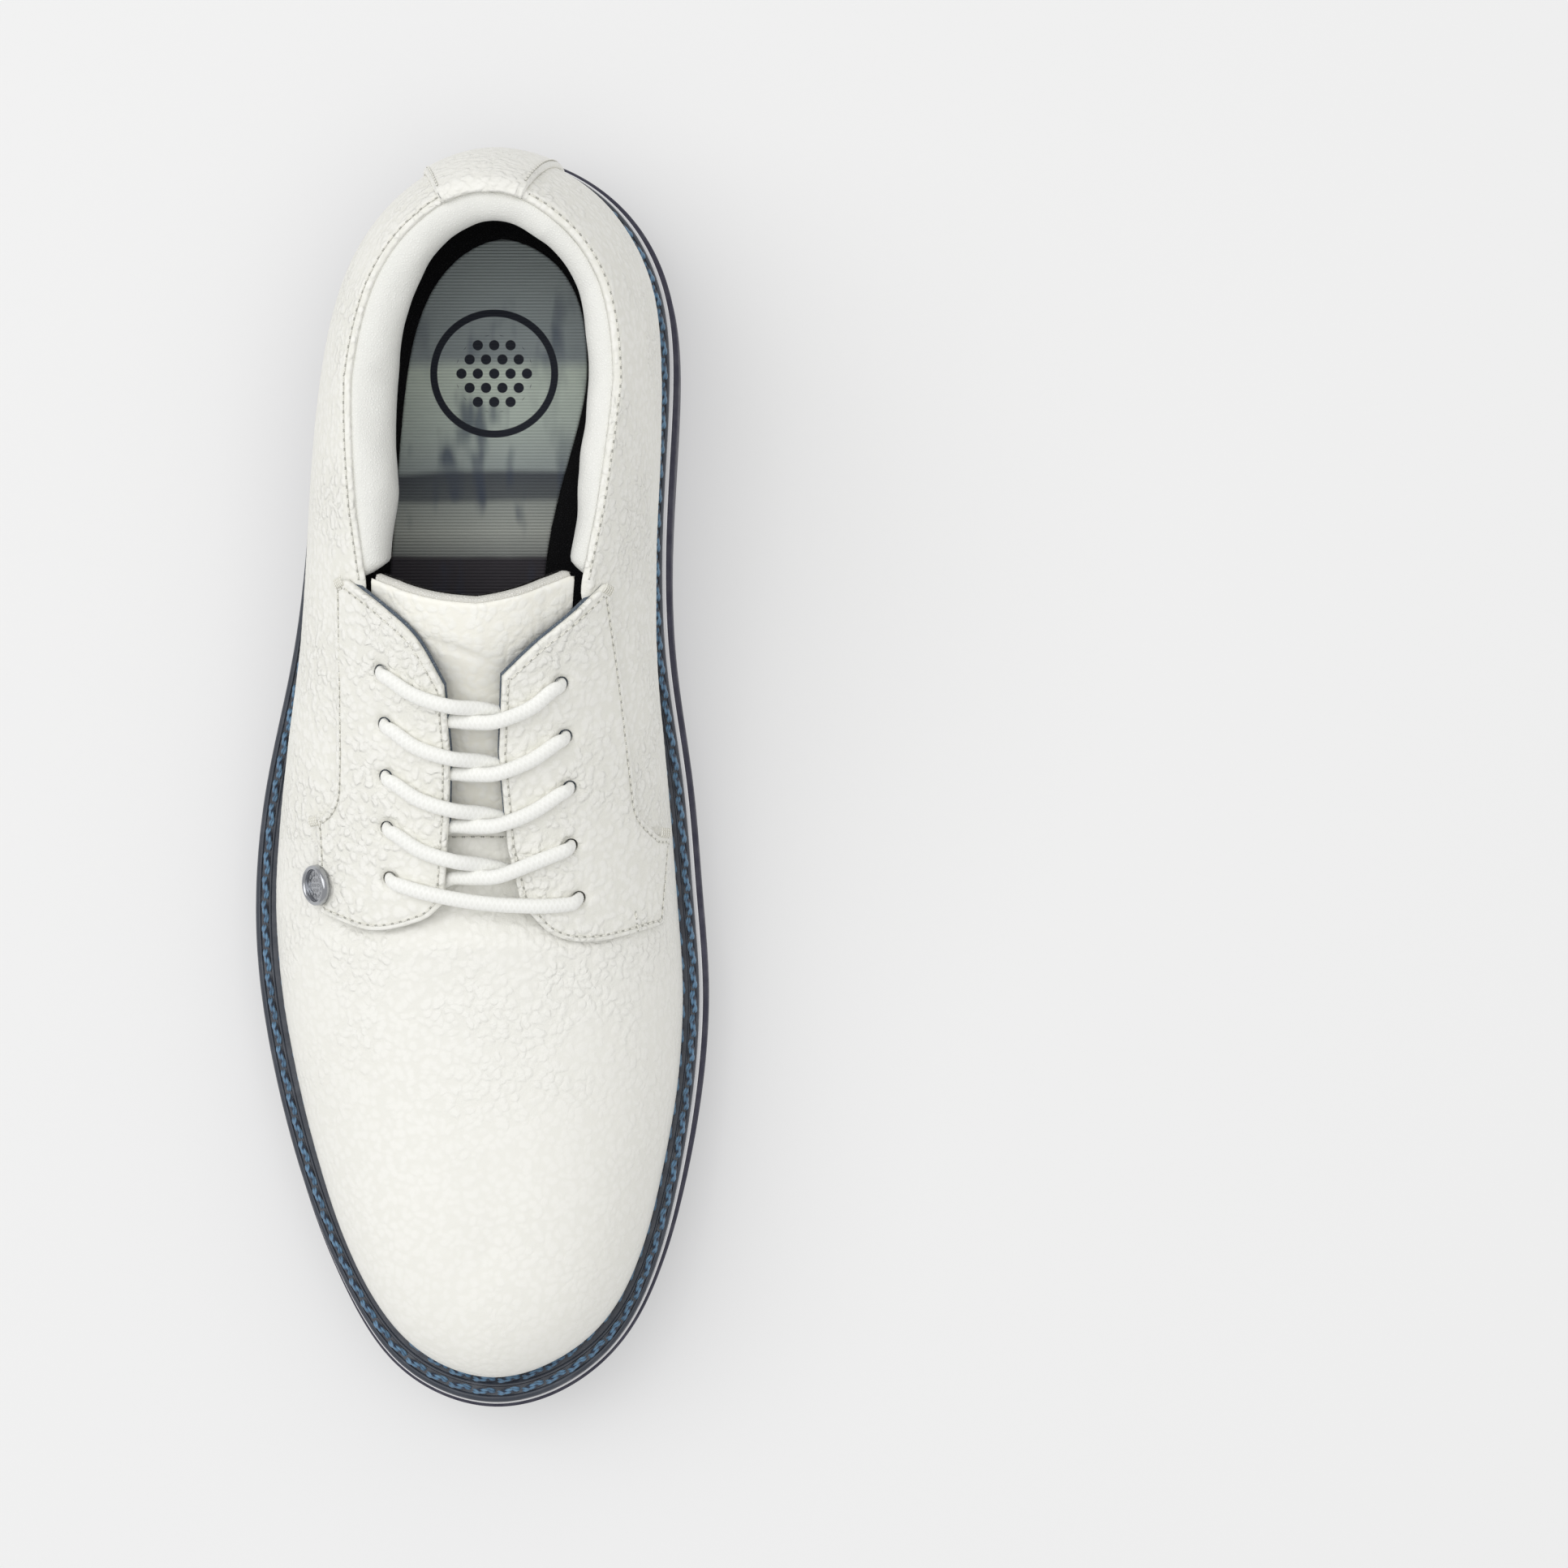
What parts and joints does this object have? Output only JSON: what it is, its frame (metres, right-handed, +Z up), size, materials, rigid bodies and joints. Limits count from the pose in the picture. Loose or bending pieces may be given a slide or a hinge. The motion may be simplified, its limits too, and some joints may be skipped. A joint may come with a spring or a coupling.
{
  "type": "golf shoe",
  "caption": "Right plain-toe derby golf shoe in pebbled leather: stitched welt, spikeless sole, laced facings, padded collar and tongue, lift-out footbed.",
  "frame": {"origin": "middle of the sole's outline on the ground", "axes": "+Z up, +Y from the toe to the heel, +X to the inner (medial) side of this right shoe"},
  "size_m": [0.1096, 0.301, 0.0972],
  "materials": {
    "smooth_leather": "off-white aniline-finished calf, lightly pebbled",
    "tongue_cream": "padded tongue leather, slightly creamier",
    "pebbled_leather": "off-white heavily pebbled leather",
    "backing_cloth": "dark blue-grey cotton backing",
    "collar_cloth": "soft white collar cloth",
    "black_lining": "black knitted lining",
    "foam_white": "white polyurethane foam",
    "foam_black": "black moulded footbed foam",
    "footbed_print": "printed footbed cloth, blue-grey bands",
    "board": "pressed fibre insole board",
    "cork": "cork and foam bottom filler",
    "stiffener": "thermoplastic toe puff and heel counter",
    "welt_navy": "satin navy welt",
    "stitch_blue": "braided blue waxed thread",
    "strip_white": "white midsole line",
    "outsole_navy": "dark navy outsole rubber",
    "lug_navy": "moulded tread",
    "lace_white": "waxed white cotton lace",
    "tip_clear": "moulded lace tips",
    "badge_chrome": "polished chrome",
    "steel": "spring steel"
  },
  "bodies": {
    "shoe": {"outsole": "outsole_navy", "tread_pads": "lug_navy", "heel_lugs": "lug_navy", "forefoot_lugs": "lug_navy", "midsole_strip": "strip_white", "welt": "welt_navy", "welt_stitches_outer": "stitch_blue", "welt_stitches_inner": "stitch_blue", "bottom_filler": "cork", "shank": "steel", "insole_board": "board", "vamp": "smooth_leather", "vamp_lining": "black_lining", "toe_puff": "stiffener", "heel_counter": "stiffener", "quarter_lining": "black_lining", "heel_tab": "smooth_leather", "collar_foam": "foam_white", "collar_lining": "collar_cloth", "collar_rim": "collar_cloth", "lace": "lace_white", "lace_tips": "tip_clear", "badge_bezel": "badge_chrome", "badge_face": "badge_chrome", "badge_post": "steel", "quarter_lateral": "pebbled_leather", "quarter_medial": "pebbled_leather", "facing_lateral": "pebbled_leather", "facing_medial": "pebbled_leather", "facing_backing_lateral": "backing_cloth", "facing_backing_medial": "backing_cloth"},
    "tongue": {"tongue_leather": "tongue_cream", "tongue_foam": "foam_white", "tongue_lining": "black_lining"},
    "footbed": {"sockliner_foam": "foam_black", "sockliner_cover": "footbed_print"}
  },
  "joints": [
    {"name": "tongue_press", "type": "hinge", "parent": "shoe", "child": "tongue", "pos_m": [0.0025, -0.0105, 0.066], "axis": [-1, 0, 0], "range_deg": [0, 10], "stiffness_Nm_per_rad": 0.3},
    {"name": "footbed_lift", "type": "hinge", "parent": "shoe", "child": "footbed", "pos_m": [0.0043, -0.1368, 0.0318], "axis": [1, 0, 0], "range_deg": [0, 4]}
  ]
}
